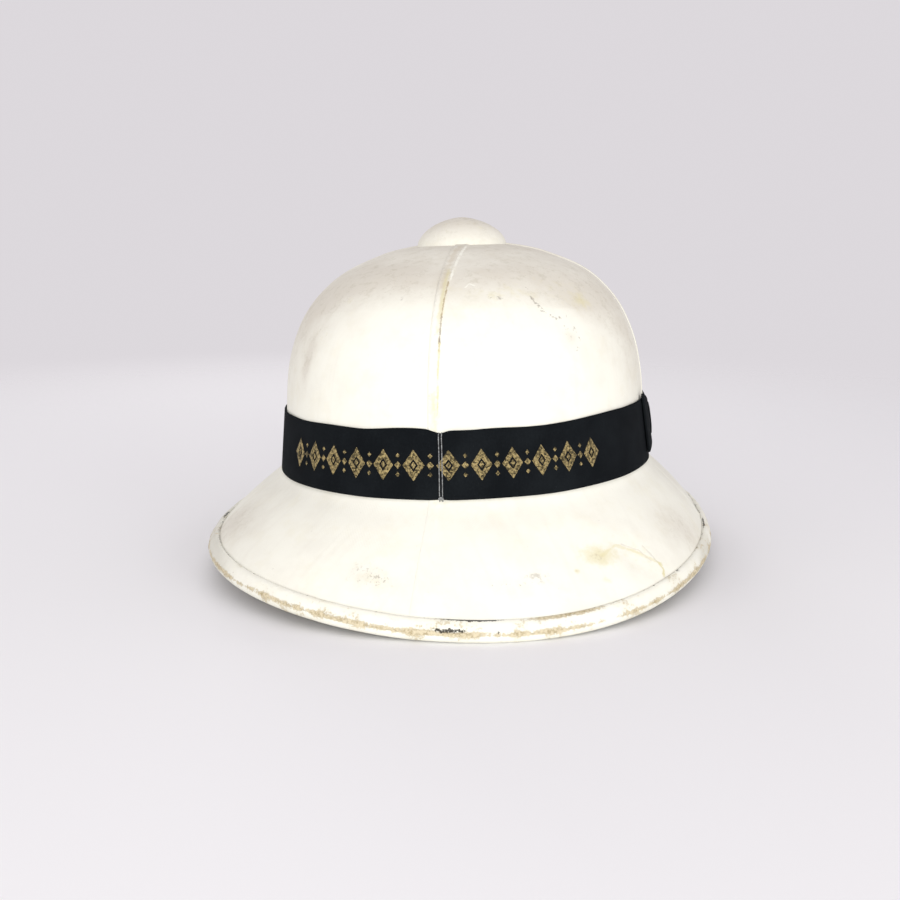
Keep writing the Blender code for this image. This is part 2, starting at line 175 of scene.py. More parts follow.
class Socket:
    # An output that takes part in sums and products
    def __init__(self, recipe, link):
        self.recipe, self.link = recipe, link

    def maths(self, operation, *values):
        return self.recipe.node("Math", {"operation": operation}, dict(enumerate(values)))

    def __add__(self, other):
        return self.maths("ADD", self, other)

    def __radd__(self, other):
        return self.maths("ADD", other, self)

    def __sub__(self, other):
        return self.maths("SUBTRACT", self, other)

    def __rsub__(self, other):
        return self.maths("SUBTRACT", other, self)

    def __mul__(self, other):
        return self.maths("MULTIPLY", self, other)

    def __rmul__(self, other):
        return self.maths("MULTIPLY", other, self)

    def __abs__(self):
        return self.maths("ABSOLUTE", self)

    def sine(self):
        return self.maths("SINE", self)


class Recipe:
    # One material, its nodes added by expressions
    def __init__(self, name, roughness, metallic=0.0, **fixed):
        self.material = bpy.data.materials.new(name)
        self.material.use_nodes = True
        self.tree = self.material.node_tree
        self.shader = self.tree.nodes["Principled BSDF"]
        fixed.update({"Roughness": roughness, "Metallic": metallic})
        for key, value in fixed.items():
            self.shader.inputs[key.replace("_", " ")].default_value = value

    def node(self, kind, settings=None, sockets=None, out=0):
        node = self.tree.nodes.new("ShaderNode" + kind)
        for key, value in (settings or {}).items():
            setattr(node, key, value)
        for key, value in (sockets or {}).items():
            if isinstance(value, Socket):
                self.tree.links.new(value.link, node.inputs[key])
            else:
                node.inputs[key].default_value = value
        return Socket(self, node.outputs[out])

    def place(self):
        return self.node("TexCoord", out="Object")

    def cloth(self):
        # Distances along the cloth in centimetres, as two numbers
        uv = self.node("UVMap", {"uv_map": "cloth"})
        return [self.node("SeparateXYZ", {}, {0: uv}, out) for out in ("X", "Y")]

    def mark(self, name, out="Fac"):
        return self.node("Attribute", {"attribute_name": name}, out=out)

    def marks(self, name):
        parts = self.mark(name, "Color")
        return [self.node("SeparateColor", {}, {0: parts}, out) for out in ("Red", "Green", "Blue")]

    def grain(self, size, detail=2.0, rough=0.5):
        return self.node("TexNoise", {}, {"Vector": self.place(), "Scale": 1 / size,
                                          "Detail": detail, "Roughness": rough}, "Fac")

    def cells(self, size, feature="F1", out="Distance"):
        return self.node("TexVoronoi", {"feature": feature},
                         {"Vector": self.place(), "Scale": 1 / size}, out)

    def vector(self, operation, *values, out=0):
        return self.node("VectorMath", {"operation": operation}, dict(enumerate(values)), out)

    def toLine(self, places):
        # The distance to a line through places, in metres
        nearest = None
        here = self.place()
        for start, end in zip(places, places[1:]):
            start, end = Vector(start), Vector(end)
            step = end - start
            away = self.vector("SUBTRACT", here, tuple(start))
            along = self.vector("DOT_PRODUCT", away, tuple(step / step.length_squared), out="Value")
            along = self.node("Clamp", {}, {"Value": along})
            foot = self.node("VectorMath", {"operation": "SCALE"},
                             {0: tuple(step), "Scale": along})
            apart = self.vector("LENGTH", self.vector("SUBTRACT", away, foot), out="Value")
            nearest = apart if nearest is None else nearest.maths("MINIMUM", nearest, apart)
        return nearest

    def between(self, value, low, high, start=0.0, end=1.0):
        return self.node("MapRange", {"interpolation_type": "SMOOTHSTEP"},
                         {0: value, 1: low, 2: high, 3: start, 4: end})

    def mix(self, share, first, second):
        colours = [(*c, 1) if isinstance(c, tuple) else c for c in (first, second)]
        return self.node("Mix", {"data_type": "RGBA"}, {0: share, 6: colours[0], 7: colours[1]}, 2)

    def finish(self, colour, height=None, depth=0.0001, **varying):
        if isinstance(colour, tuple):
            self.shader.inputs["Base Color"].default_value = (*colour, 1)
        else:
            varying["Base Color"] = colour
        for key, value in varying.items():
            self.tree.links.new(value.link, self.shader.inputs[key.replace("_", " ")])
        if height is not None:
            bump = self.node("Bump", {}, {"Height": height, "Distance": depth}, "Normal")
            self.tree.links.new(bump.link, self.shader.inputs["Normal"])
        return self.material


# Meshes

def clothSizes(grid):
    # Distances across and down a grid of points, in centimetres
    across = np.linalg.norm(np.diff(grid, axis=1), axis=-1).cumsum(axis=1)
    across = np.hstack([np.zeros((len(grid), 1)), across])
    across -= across.mean(axis=1, keepdims=True)
    down = np.linalg.norm(np.diff(grid, axis=0), axis=-1).cumsum(axis=0)
    down = np.vstack([np.zeros((1, grid.shape[1])), down])
    return np.stack([across, down], axis=-1) * 100


def addPiece(name, points, faces, material, slot, stands=(), uv=None, marks=None, numbers=None):
    mesh = bpy.data.meshes.new(name)
    mesh.from_pydata([tuple(p) for p in points], [], faces)
    if uv is not None:
        layer = mesh.uv_layers.new(name="cloth")
        corners = np.empty(len(mesh.loops), dtype=int)
        mesh.loops.foreach_get("vertex_index", corners)
        layer.data.foreach_set("uv", np.asarray(uv, float)[corners].ravel())
    for key, values in (marks or {}).items():
        layer = mesh.attributes.new(key, "FLOAT_COLOR", "POINT")
        colours = np.ones((len(points), 4))
        colours[:, :3] = values
        layer.data.foreach_set("color", colours.ravel())
    for key, values in (numbers or {}).items():
        layer = mesh.attributes.new(key, "FLOAT", "POINT")
        layer.data.foreach_set("value", np.asarray(values, float).ravel())
    mesh.shade_smooth()
    mesh.materials.append(material)
    piece = bpy.data.objects.new(name, mesh)
    bpy.context.scene.collection.objects.link(piece)
    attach(piece, "root")
    if stands:
        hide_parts(*stands)
    return piece


def addWall(piece, thick, side=-1):
    # A cloth's thickness, on its inner side or, with side=1, on its outer one
    wall = piece.modifiers.new("wall", "SOLIDIFY")
    wall.thickness, wall.offset = thick, side


def gridFaces(rows, columns):
    corners = [i * columns + j for i in range(rows - 1) for j in range(columns - 1)]
    return [(k, k + columns, k + columns + 1, k + 1) for k in corners]


def addGrid(name, grid, material, slot, marks=None, **more):
    rows, columns = grid.shape[:2]
    sizes = clothSizes(grid)
    if marks is not None:
        more["marks"] = {key: values.reshape(-1, 3) for key, values in marks.items()}
    return addPiece(name, grid.reshape(-1, 3), gridFaces(rows, columns), material, slot,
                    uv=sizes.reshape(-1, 2), **more)


# Canvas cover

canvas = {
    "white": (0.865, 0.860, 0.770),
    "greyed": (0.65, 0.61, 0.53),
    "tan": (0.58, 0.51, 0.39),
    "stain": (0.40, 0.31, 0.17),
    "yellow": (0.69, 0.635, 0.38),
    "aged": (0.80, 0.77, 0.62),
    "olive": (0.42, 0.39, 0.28),
    "dirt_and_shade": (0.30, 0.27, 0.22),
    "weave": 0.00065,           # distance between threads
    "weaveDepth": 0.00006,
    "rows": 180,
    "columns": 168,
    "lapWidth": 0.0045,
    "wall": 0.0009,
    "stitchRows": (-1.65, 1.75),    # millimetres past the seam
    "stitch": 0.30,             # centimetres
    "topLevel": 0.062,          # under the button
    "edgeInset": 0.0030,        # the cloth ends this far inside the brim's outer line
}
# Distance past the seam and height of the felled lap, in millimetres
lapForm = [(-2.50, -0.15), (-2.35, 0.20), (-2.05, 0.45), (-1.50, 0.54), (-0.60, 0.48),
           (0.60, 0.47), (1.60, 0.55), (2.10, 0.42), (2.55, 0.14), (3.20, 0.00)]
# Lines on the cloth. Those beside the front seam are given by their distance past it in
# millimetres and the levels they run through, the others by degrees and level.
lines = [
    # A tan strip on the lap near the top: painted shade beside its raised ridge
    {"past": 0.2, "levels": (0.10, 0.20, 0.30, 0.40), "width": 3.4, "colour": "tan", "amount": 0.42},
    {"past": 0.9, "levels": (0.3, 0.38, 0.46, 0.56, 0.62), "width": 2.2, "colour": "yellow", "amount": 0.5},
    # A white line along the lap's ridge near the top: painted highlight
    {"past": 2.5, "levels": (0.10, 0.20, 0.28, 0.36), "width": 1.3, "colour": "white", "amount": 1.0},
    {"past": 1.9, "levels": (0.37, 0.46, 0.55, 0.66), "width": 1.0, "colour": "stain", "amount": 0.72},
    {"past": 2.2, "levels": (0.54, 0.60, 0.69), "width": 0.8, "colour": "dirt_and_shade", "amount": 0.85},
    {"past": 2.2, "levels": (0.66, 0.78, 0.94), "width": 1.0, "colour": "yellow", "amount": 0.8},
    {"past": 0.2, "levels": (0.86, 0.93, 1.02), "width": 3.6, "colour": "yellow", "amount": 0.5},
    {"places": [(30.6, 0.415), (32.0, 0.48), (34.4, 0.545), (38.5, 0.570), (42.0, 0.560)],
     "width": 2.6, "colour": "dirt_and_shade", "amount": 0.72, "broken": True},
    {"places": [(40.0, 0.62), (43.6, 0.62), (45.0, 0.68), (42.4, 0.72)],
     "width": 2.2, "colour": "dirt_and_shade", "amount": 0.62, "broken": True},
    {"places": [(16.4, 0.452), (20.6, 0.462)],
     "width": 2.2, "colour": "dirt_and_shade", "amount": 0.55, "broken": True},
    {"places": [(11.6, 2.615), (18.5, 2.622)],
     "width": 1.2, "colour": "dirt_and_shade", "amount": 0.40, "broken": True},
    {"places": [(37.5, 2.53), (41.9, 2.495), (47.0, 2.56), (51.5, 2.669), (53.0, 2.72)],
     "width": 1.9, "colour": "yellow", "amount": 0.55},
    # Grey and dark lines in the crease of the dent on the left front brim: painted shade
    {"places": [(44.0, 2.50), (48.5, 2.57), (50.5, 2.66)], "width": 0.8, "colour": "greyed", "amount": 0.6},
    {"places": [(50.0, 2.56), (51.5, 2.64), (52.8, 2.74)], "width": 1.1, "colour": "dirt_and_shade", "amount": 0.22},
    {"places": [(52.4, 2.700), (53.0, 2.76), (52.2, 2.80)], "width": 1.8, "colour": "yellow", "amount": 0.9},
    {"places": [(8.2, 0.400), (9.8, 0.380), (11.6, 0.392)], "width": 0.9, "colour": "white", "amount": 0.9},
]


def lapPlace(level, past):
    # Near the top, where they meet the button, the laps are wider and lie further past the seam
    nearTop = np.maximum(1 - np.asarray(level, float) / 0.6, 0) ** 1.5
    low = np.clip((np.asarray(level, float) - 0.4) / 0.5, 0, 1)
    return 0.0034 * nearTop - 0.0013 * low + past * (1 + 0.5 * nearTop)


def linePlaces(row):
    if "places" in row:
        return [clothPoints(level, math.radians(angle)) for angle, level in row["places"]]
    return [clothPoints(level, seamAngle(level, 0, lapPlace(level, row["past"] / 1000)), 0.0005)
            for level in row["levels"]]


def canvasMaterial():
    recipe = Recipe("blancoed_canvas", 0.9, Specular_IOR_Level=0.10)
    across, down = recipe.cloth()
    stained, dirt_and_shade_mask, cracked = recipe.marks("marks")
    threads = math.pi / (canvas["weave"] * 100)
    weave = (across * threads).sine() * (down * threads).sine()
    slubs = recipe.grain(0.0035, 3.0, 0.6)
    fine = recipe.grain(0.0011, 3.0, 0.7)
    patchy = recipe.grain(0.024, 4.0, 0.6)
    clouds = recipe.grain(0.013, 5.0, 0.65)
    colour = recipe.mix(recipe.between(patchy, 0.42, 0.75, 0.0, 0.22), canvas["white"], canvas["greyed"])
    colour = recipe.mix(recipe.between(clouds, 0.46, 0.72, 0.0, 0.30), colour, canvas["aged"])
    streak = recipe.node("CombineXYZ", {}, {0: across * 2.6, 1: down * 0.22})
    streaks = recipe.node("TexNoise", {}, {"Vector": streak, "Scale": 1.0, "Detail": 3.0})
    colour = recipe.mix(recipe.between(streaks, 0.50, 0.80, 0.0, 0.12), colour, canvas["greyed"])
    # Grey from the marks' second channel: dirt, and painted shade on the tops of the crown and the button
    grey = recipe.between(dirt_and_shade_mask * (0.45 + 1.1 * clouds), 0.03, 1.0, 0.0, 0.75)
    colour = recipe.mix(grey, colour, canvas["greyed"])
    mottle = recipe.between(recipe.grain(0.0052, 5.0, 0.85), 0.50, 0.64) * recipe.between(dirt_and_shade_mask, 0.10, 0.9)
    colour = recipe.mix(mottle * 0.27, colour, canvas["olive"])
    pepper = recipe.between(recipe.grain(0.0017, 2.0, 0.6), 0.74, 0.80)
    colour = recipe.mix(pepper * 0.35, colour, canvas["dirt_and_shade"])
    yellowed = recipe.between(stained + (slubs - 0.5) * 0.9 + (patchy - 0.5) * 0.3, 0.16, 0.85)
    colour = recipe.mix(yellowed * 0.62, colour, canvas["yellow"])
    browned = recipe.between(stained + (fine - 0.5) * 1.2, 0.75, 1.25)
    colour = recipe.mix(browned * 0.55, colour, canvas["stain"])
    flecks = recipe.between(recipe.grain(0.0024, 3.0, 0.75), 0.545, 0.60)
    crackle = flecks * recipe.between(cracked + (slubs - 0.5) * 1.2, 0.40, 0.95)
    colour = recipe.mix(crackle * 0.50, colour, canvas["dirt_and_shade"])
    height = 0.16 * weave + 1.0 * slubs - 1.0 * crackle
    # Two rows of stitches hold each lap of the crown; the brim's don't show
    past = recipe.mark("past")
    for row in canvas["stitchRows"]:
        thread = 1 - recipe.between(abs(past - row), 0.12, 0.30)
        stitch = thread * recipe.between((down * (2 * math.pi / canvas["stitch"])).sine(), -0.35, 0.25)
        height = height + stitch * 1.6 - thread * 0.6
        colour = recipe.mix((thread - stitch) * 0.10, colour, canvas["dirt_and_shade"])
    for row in lines:
        width = row["width"] / 1000
        apart = recipe.toLine(linePlaces(row)) + (slubs * 1.5 + fine * 0.8 - 1.15) * width
        line = 1 - recipe.between(apart, 0.15 * width, 0.6 * width)
        if row.get("broken"):
            line = line * flecks
        elif row["colour"] != "white":
            line = line * recipe.between(clouds, 0.30, 0.52)
        colour = recipe.mix(line * row["amount"], colour, canvas[row["colour"]])
        if row["width"] < 1.5:
            height = height - 0.6 * line
    return recipe.finish(colour, height, canvas["weaveDepth"])


# Degrees from the front towards the left, level, half sizes in millimetres across and down,
# and the amounts of yellowing, of dirt and painted shade, and of crackle
stains = [
    {"angle": 1.2, "level": 0.34, "across": 3.6, "down": 13, "yellow": 0.30},
    {"angle": 0.9, "level": 0.48, "across": 1.2, "down": 12, "yellow": 0.55},
    {"angle": -0.2, "level": 0.93, "across": 4.2, "down": 11, "yellow": 0.42},
    {"angle": 0.3, "level": 2.05, "across": 6.0, "down": 4.5, "yellow": 0.40},
    {"angle": 9.9, "level": 0.43, "across": 8, "down": 5, "yellow": 0.16},
    {"angle": 30, "level": 0.36, "across": 34, "down": 17, "yellow": 0.12, "dirt_and_shade": 0.60},
    # Mostly painted shade over the crown's top, where the light falls off; its olive mottles are dirt
    {"angle": 0, "level": 0.02, "across": 62, "down": 62, "dirt_and_shade": 0.80},
    {"angle": 24, "level": 0.43, "across": 16, "down": 5, "yellow": 0.28, "crackle": 0.25},
    {"angle": 53, "level": 0.48, "across": 15, "down": 14, "yellow": 0.30, "dirt_and_shade": 0.60},
    {"angle": 75, "level": 0.62, "across": 30, "down": 40, "dirt_and_shade": 0.70},
    {"angle": 18.2, "level": 0.457, "across": 4.5, "down": 2.2, "yellow": 0.30, "crackle": 0.70},
    {"angle": 21.6, "level": 0.575, "across": 3.2, "down": 2.0, "yellow": 0.34},
    {"angle": 52.6, "level": 0.50, "across": 6, "down": 3.5, "yellow": 0.40},
    {"angle": 41.5, "level": 0.67, "across": 5, "down": 5, "crackle": 0.60, "dirt_and_shade": 0.4},
    {"angle": -28, "level": 0.34, "across": 36, "down": 15, "yellow": 0.06, "dirt_and_shade": 0.75},
    {"angle": -60, "level": 0.55, "across": 32, "down": 36, "dirt_and_shade": 0.70},
    {"angle": -43, "level": 0.62, "across": 9, "down": 4.5, "yellow": 0.22, "crackle": 0.62},
    {"angle": -47, "level": 0.76, "across": 5, "down": 12, "yellow": 0.16, "dirt_and_shade": 0.6, "crackle": 0.35},
    {"angle": -36, "level": 0.47, "across": 12, "down": 4, "yellow": 0.18, "crackle": 0.60},
    {"angle": -13, "level": 0.45, "across": 3, "down": 2, "crackle": 0.75},
    {"angle": 180, "level": 0.45, "across": 60, "down": 36, "yellow": 0.10, "dirt_and_shade": 0.80},
    {"angle": 150, "level": 2.55, "across": 40, "down": 18, "yellow": 0.24, "dirt_and_shade": 0.6},
    {"angle": -120, "level": 2.45, "across": 46, "down": 16, "yellow": 0.16, "dirt_and_shade": 0.7},
    {"angle": -62, "level": 2.62, "across": 30, "down": 16, "yellow": 0.05, "dirt_and_shade": 0.75},
    {"angle": 68, "level": 2.60, "across": 26, "down": 18, "dirt_and_shade": 0.65},
    {"angle": -9.5, "level": 2.60, "across": 13, "down": 6.0, "yellow": 0.36, "dirt_and_shade": 0.4, "crackle": 1.05},
    {"angle": -1.5, "level": 2.60, "across": 2.2, "down": 1.6, "crackle": 0.90},
    {"angle": 14.0, "level": 2.62, "across": 9, "down": 2.2, "yellow": 0.10, "crackle": 0.72},
    {"angle": 21.5, "level": 2.59, "across": 9, "down": 4.5, "yellow": 0.24, "dirt_and_shade": 0.2, "crackle": 0.80},
    {"angle": 30.2, "level": 2.58, "across": 1.6, "down": 1.2, "yellow": 0.9, "crackle": 0.8},
    {"angle": 36.4, "level": 2.525, "across": 7.5, "down": 5.0, "yellow": 0.70, "crackle": 0.62},
    {"angle": 42, "level": 2.54, "across": 17, "down": 9, "yellow": 0.32, "dirt_and_shade": 0.30},
    {"angle": 50, "level": 2.66, "across": 6, "down": 12, "yellow": 0.20},
    {"angle": 36.6, "level": 2.675, "across": 2.6, "down": 2.2, "yellow": 0.45},
]


def clothMarks(points):
    marks = np.zeros(points.shape)
    for row in stains:
        angle = math.radians(row["angle"])
        centre = smoothPoints(row["level"], angle)
        east = unit(smoothPoints(row["level"], angle + 0.01) - centre)
        south = unit(smoothPoints(row["level"] + 0.01, angle) - centre)
        away = (points - centre) * 1000
        spread = ((away @ east) / row["across"]) ** 2 + ((away @ south) / row["down"]) ** 2
        near = np.exp(-spread) * (np.linalg.norm(away, axis=-1) < 90)
        marks += near[..., None] * [row.get(kind, 0) for kind in ("yellow", "dirt_and_shade", "crackle")]
    return marks


def makePanel(name, node, seam, material):
    lap = np.array(lapForm) / 1000
    crown = np.linspace(canvas["topLevel"], 1.0, int(canvas["rows"] * 0.55))
    brimShare = np.linspace(0, 1, int(canvas["rows"] * 0.40))
    band = np.array([1.1, 1.5, 1.9])
    count = len(crown) + len(band) + len(brimShare)
    columns = canvas["columns"]
    level = np.empty((count, len(lap) + columns))
    angle = np.empty_like(level)
    startOf = lap[-1, 0]
    for i in range(count):
        if i < len(crown):
            ring = crown[i]
        elif i < len(crown) + len(band):
            ring = band[i - len(crown)]
        else:
            ring = 2 + 0.94 * brimShare[i - len(crown) - len(band)]
        start = seamAngle(ring, seam, lapPlace(ring, startOf))
        end = seamAngle(ring, seam + 1, lapPlace(ring, 0.001 - canvas["lapWidth"] / 2))
        angle[i, :len(lap)] = [seamAngle(ring, seam, lapPlace(ring, at)) for at in lap[:, 0]]
        angle[i, len(lap):] = start + (end - start) * np.arange(1, columns + 1) / columns
        level[i] = ring
    brimRows = slice(len(crown) + len(band), count)
    last = levelFromEdge(angle[brimRows], canvas["edgeInset"])
    level[brimRows] = 2 + (last - 2) * brimShare[:, None]
    smooth = smoothPoints(level, angle)
    standoff = np.zeros(level.shape)
    standoff[:, :len(lap)] = lap[:, 1]
    pressed = np.where(level > 2, 0.35, 1.0)
    pressed[((level > 1.0) & (level < 2.0)) | (level > 2.93)] = 0.15
    standoff[:, 1:len(lap)] *= pressed[:, 1:len(lap)]
    # Small puckers beside the seams and a little unevenness everywhere
    toSeam = np.minimum(abs(angle - seam * quarter), abs(angle - (seam + 1) * quarter)) * 0.1
    pucker = wander(smooth * (1, 1, 2.2), 0.006, 3) * np.exp(-toSeam / 0.006)
    standoff += 0.00012 * pucker + 0.00022 * wander(smooth, 0.028, 1) + 0.00006 * wander(smooth, 0.008, 2)
    grid = clothPoints(level, angle, standoff)
    past = np.full(level.shape, 20.0)
    past[:len(crown), :len(lap)] = lap[:, 0] * 1000
    piece = addGrid(name, grid, material, "white_canvas", stands=(node,),
                    marks={"marks": clothMarks(smooth)}, numbers={"past": past})
    addWall(piece, canvas["wall"])


canvasCloth = canvasMaterial()
for seam, side in enumerate(["front_left", "back_left", "back_right", "front_right"]):
    makePanel("canvas_" + side, "cover_" + side, seam, canvasCloth)
print("cover made")

# Binding of the brim

binding = {
    "white": (0.865, 0.860, 0.770),
    "greyed": (0.64, 0.63, 0.55),
    "worn": (0.40, 0.32, 0.18),
    "rubbed": (0.66, 0.58, 0.40),
    "dark": (0.018, 0.015, 0.011),
    "flap": 0.0086,
    "edgeRadius": 0.00305,
    "stack": 0.0035,            # cloth and cork inside the roll
    "columns": 840,
    "rollStart": 0.12,          # radians from straight up
    "ridgeAt": 7.1,             # millimetres from the tape's inner edge to the worn ridge
    "ridgeWidth": 1.0,          # millimetres
    "ridgeWear": 0.58,
    "wearEverywhere": 0.15,
    "degree": 2.9,              # millimetres along the tape
}
# Top side of the tape from its inner edge: share of the flap, and height in millimetres
tapeForm = [(-0.03, 0.05), (-0.035, 0.50), (-0.005, 0.95), (0.08, 1.45), (0.22, 1.85), (0.42, 2.05),
            (0.60, 2.00), (0.76, 1.82), (0.88, 1.66), (0.96, 1.62)]
# Marks on the tape: degrees from the front towards the left, millimetres from its inner
# edge, half sizes along and across, and the amounts of wear, black and grey
tapeMarks = [
    # Black marks at the tape's inner edge, under half a millimetre in, darken the groove by the canvas:
    # partly dirt, partly painted shadow
    {"angle": 8.2, "at": 0.3, "long": 15, "wide": 1.0, "black": 1.25},
    {"angle": 4.4, "at": 5.6, "long": 8.0, "wide": 1.2, "black": 1.12},
    {"angle": 12.1, "at": 6.0, "long": 0.7, "wide": 0.5, "black": 1.2},
    {"angle": -79, "at": 0.4, "long": 7, "wide": 0.7, "black": 1.1},
    {"angle": 84, "at": 0.2, "long": 10, "wide": 0.45, "black": 1.05},
    {"angle": 56.6, "at": 0.4, "long": 2.5, "wide": 0.6, "black": 1.0},
    {"angle": 26, "at": 0.8, "long": 22, "wide": 1.2, "wear": 1.05},
    {"angle": -10, "at": 7.0, "long": 36, "wide": 2.6, "wear": 0.38},
    {"angle": 22, "at": 7.6, "long": 26, "wide": 2.0, "wear": 0.25},
    {"angle": -48, "at": 8.4, "long": 44, "wide": 1.6, "wear": 0.50},
    {"angle": -62, "at": 5.0, "long": 40, "wide": 6.0, "grey": 0.95},
    {"angle": 62, "at": 7.4, "long": 24, "wide": 2.8, "wear": 0.38},
    {"angle": -84, "at": 5.0, "long": 26, "wide": 6.0, "wear": 0.15, "grey": 0.9},
    {"angle": 72, "at": 5.0, "long": 20, "wide": 5.0, "grey": 0.6},
    {"angle": 180, "at": 5.0, "long": 160, "wide": 6.0, "wear": 0.06, "grey": 0.5},
]


def bindingMaterial():
    recipe = Recipe("painted_binding", 0.62, Specular_IOR_Level=0.3)
    worn, dark, soiled = recipe.marks("wear")
    fine = recipe.grain(0.0014, 4.0, 0.7)
    patch = recipe.grain(0.011, 4.0, 0.6)
    rubbed = recipe.between(worn + (fine - 0.5) * 1.8 + (patch - 0.5) * 2.2, 0.36, 0.72)
    colour = recipe.mix(recipe.between(patch, 0.36, 0.70, 0.05, 0.50), binding["white"], canvas["aged"])
    soil = recipe.between(recipe.grain(0.018, 3.0) * 0.6 + soiled, 0.34, 0.95, 0.0, 0.75)
    colour = recipe.mix(soil, colour, binding["greyed"])
    tan = recipe.mix(recipe.between(fine, 0.38, 0.60), binding["worn"], binding["rubbed"])
    colour = recipe.mix(rubbed * 0.95, colour, tan)
    # Black: dirt, and painted shadow in the groove along the tape's inner edge
    black = recipe.between(dark + (fine - 0.5) * 3.2, 0.60, 0.95)
    colour = recipe.mix(black * 0.92, colour, binding["dark"])
    height = fine * 1.1 - rubbed * 0.9 - black * 1.2
    return recipe.finish(colour, height, 0.00018)


def makeBinding():
    # The columns start and end at the back, where the tape's ends meet
    angle = np.linspace(-math.pi, math.pi, binding["columns"])
    end = levelFromEdge(angle, binding["edgeRadius"])
    back = levelFromEdge(angle, binding["flap"])
    top = clothPoints(end, angle)
    slope = unit(top - clothPoints(back, angle))
    outward = outwardAt(end, angle)
    flap = binding["flap"] - binding["edgeRadius"]
    route = [(-flap + share * flap, rise / 1000) for share, rise in tapeForm]
    radius = binding["edgeRadius"]
    middle = -binding["stack"] / 2
    for turn in np.linspace(binding["rollStart"], math.pi, 11):
        # The roll is fuller on its upper side
        full = 1 + 0.14 * max(math.cos(turn), 0)
        route.append((radius * math.sin(turn) * 1.08, middle + radius * math.cos(turn) * full))
    under = -binding["stack"] - form["clearance"]
    route += [(-flap * 0.5, under - 0.0011), (-flap * 0.9, under - 0.0010),
              (-flap * 1.01, under - 0.0006), (-flap, under)]
    grid = np.array([top + slope * past + outward * over for past, over in route])
    rough = wander(grid, 0.011, 4) * 0.00022 + wander(grid, 0.0035, 5) * 0.00013
    grid = grid + outward * rough[..., None]
    steps = np.linalg.norm(np.diff(np.array(route), axis=0), axis=1)
    at = np.concatenate([[0], steps.cumsum()]) * 1000
    at = (at - at[2])[:, None]
    wear = np.zeros(grid.shape)
    ridge = np.exp(-((at - binding["ridgeAt"]) / binding["ridgeWidth"]) ** 2)
    wear[..., 0] = binding["ridgeWear"] * ridge + binding["wearEverywhere"]
    # A dark line along the tape's inner edge: painted shadow in the groove by the canvas, partly dirt
    wear[..., 1] = 0.50 * np.exp(-((at + 0.4) / 0.7) ** 2)
    for row in tapeMarks:
        along = (np.degrees(angle)[None, :] - row["angle"]) * binding["degree"]
        spread = (along / row["long"]) ** 2 + ((at - row["at"]) / row["wide"]) ** 2
        wear[..., 0] += row.get("wear", 0) * np.exp(-spread)
        wear[..., 1] += row.get("black", 0) * np.exp(-spread ** 2)
        wear[..., 2] += row.get("grey", 0) * np.exp(-spread)
    addGrid("binding_tape", grid, bindingMaterial(), "white_binding",
            stands=("brim_binding",), marks={"wear": wear})


makeBinding()
print("binding made")

# Ribbon

ribbon = {
    "silk": (0.0060, 0.0073, 0.0088),
    "worn": (0.0100, 0.0122, 0.0142),
    "rib": 0.00062,
    "wall": 0.0008,
    "columns": 560,
    "tackAngle": 0.95,          # degrees; where the tack stitch pinches the ribbon
}


def silkMaterial():
    recipe = Recipe("navy_silk", 0.8, Specular_IOR_Level=0.02)
    across, down = recipe.cloth()
    ribs = (across * (2 * math.pi / (ribbon["rib"] * 100))).sine()
    fine = recipe.grain(0.0010, 3.0, 0.6)
    soft = recipe.grain(0.016, 3.0)
    colour = recipe.mix(recipe.between(soft * 0.6 + fine * 0.4, 0.35, 0.70), ribbon["silk"], ribbon["worn"])
    lint = recipe.between(recipe.grain(0.0008, 2.0, 0.8), 0.735, 0.80)
    colour = recipe.mix(lint * 0.30, colour, (0.12, 0.13, 0.15))
    return recipe.finish(colour, ribs * 0.7 + fine * 0.5, 0.00006, Roughness=0.62 + 0.22 * fine)


def bandPoints(share, angle, standoff):
    # On the band: share of the ribbon's width from its top edge, angle and height over the cloth
    aside = np.degrees(angle) - ribbon["tackAngle"]
    pinch = np.exp(-(aside / 1.5) ** 2)
    share = np.asarray(share, float)
    flat = smoothPoints(1 + share, angle)
    wave = wander(flat, 0.045, 6) * 0.00030
    edge = wander(flat * (1, 1, 0.3), 0.028, 11) * 0.014 * abs(2 * share - 1) ** 3
    drawn = pinch * (0.040 * (1 - share) ** 3 - 0.012 * share ** 3)
    level = np.clip(1 + share + drawn + edge, 0.9, 2.1)
    return clothPoints(level, angle, standoff + wave * (standoff > 0.0005) - pinch * 0.00012)


silk = silkMaterial()


def makeRibbon():
    wall, gap = ribbon["wall"], form["clearance"]
    shares = [0.004, -0.004] + list(np.linspace(0.006, 0.994, 16)) + [1.004, 0.996]
    standoffs = [gap, gap + wall * 0.7] + [gap + wall] * 16 + [gap + wall * 0.7, gap]
    angle = np.linspace(-math.pi, math.pi, ribbon["columns"])
    grid = np.array([bandPoints(share * np.ones(len(angle)), angle, standoff)
                     for share, standoff in zip(shares, standoffs)])
    addGrid("silk_ribbon", grid, silk, "navy_silk", stands=("hat_ribbon",))


makeRibbon()
print("ribbon made")

# Woven gilt ornament: a row of lozenges with pellets between them

ornament = {
    "gilt": (0.56, 0.44, 0.20),
    "tarnish": (0.050, 0.040, 0.018),
    "start": -50.4,             # degrees
    "end": 47.8,
    "count": 12,
    "middle": 0.50,             # share of the ribbon's width from its top edge
    "tall": 0.0140,
    "wide": 0.0108,
    "bar": 0.0025,
    "pellet": 0.0030,
    "rise": 0.00022,
}


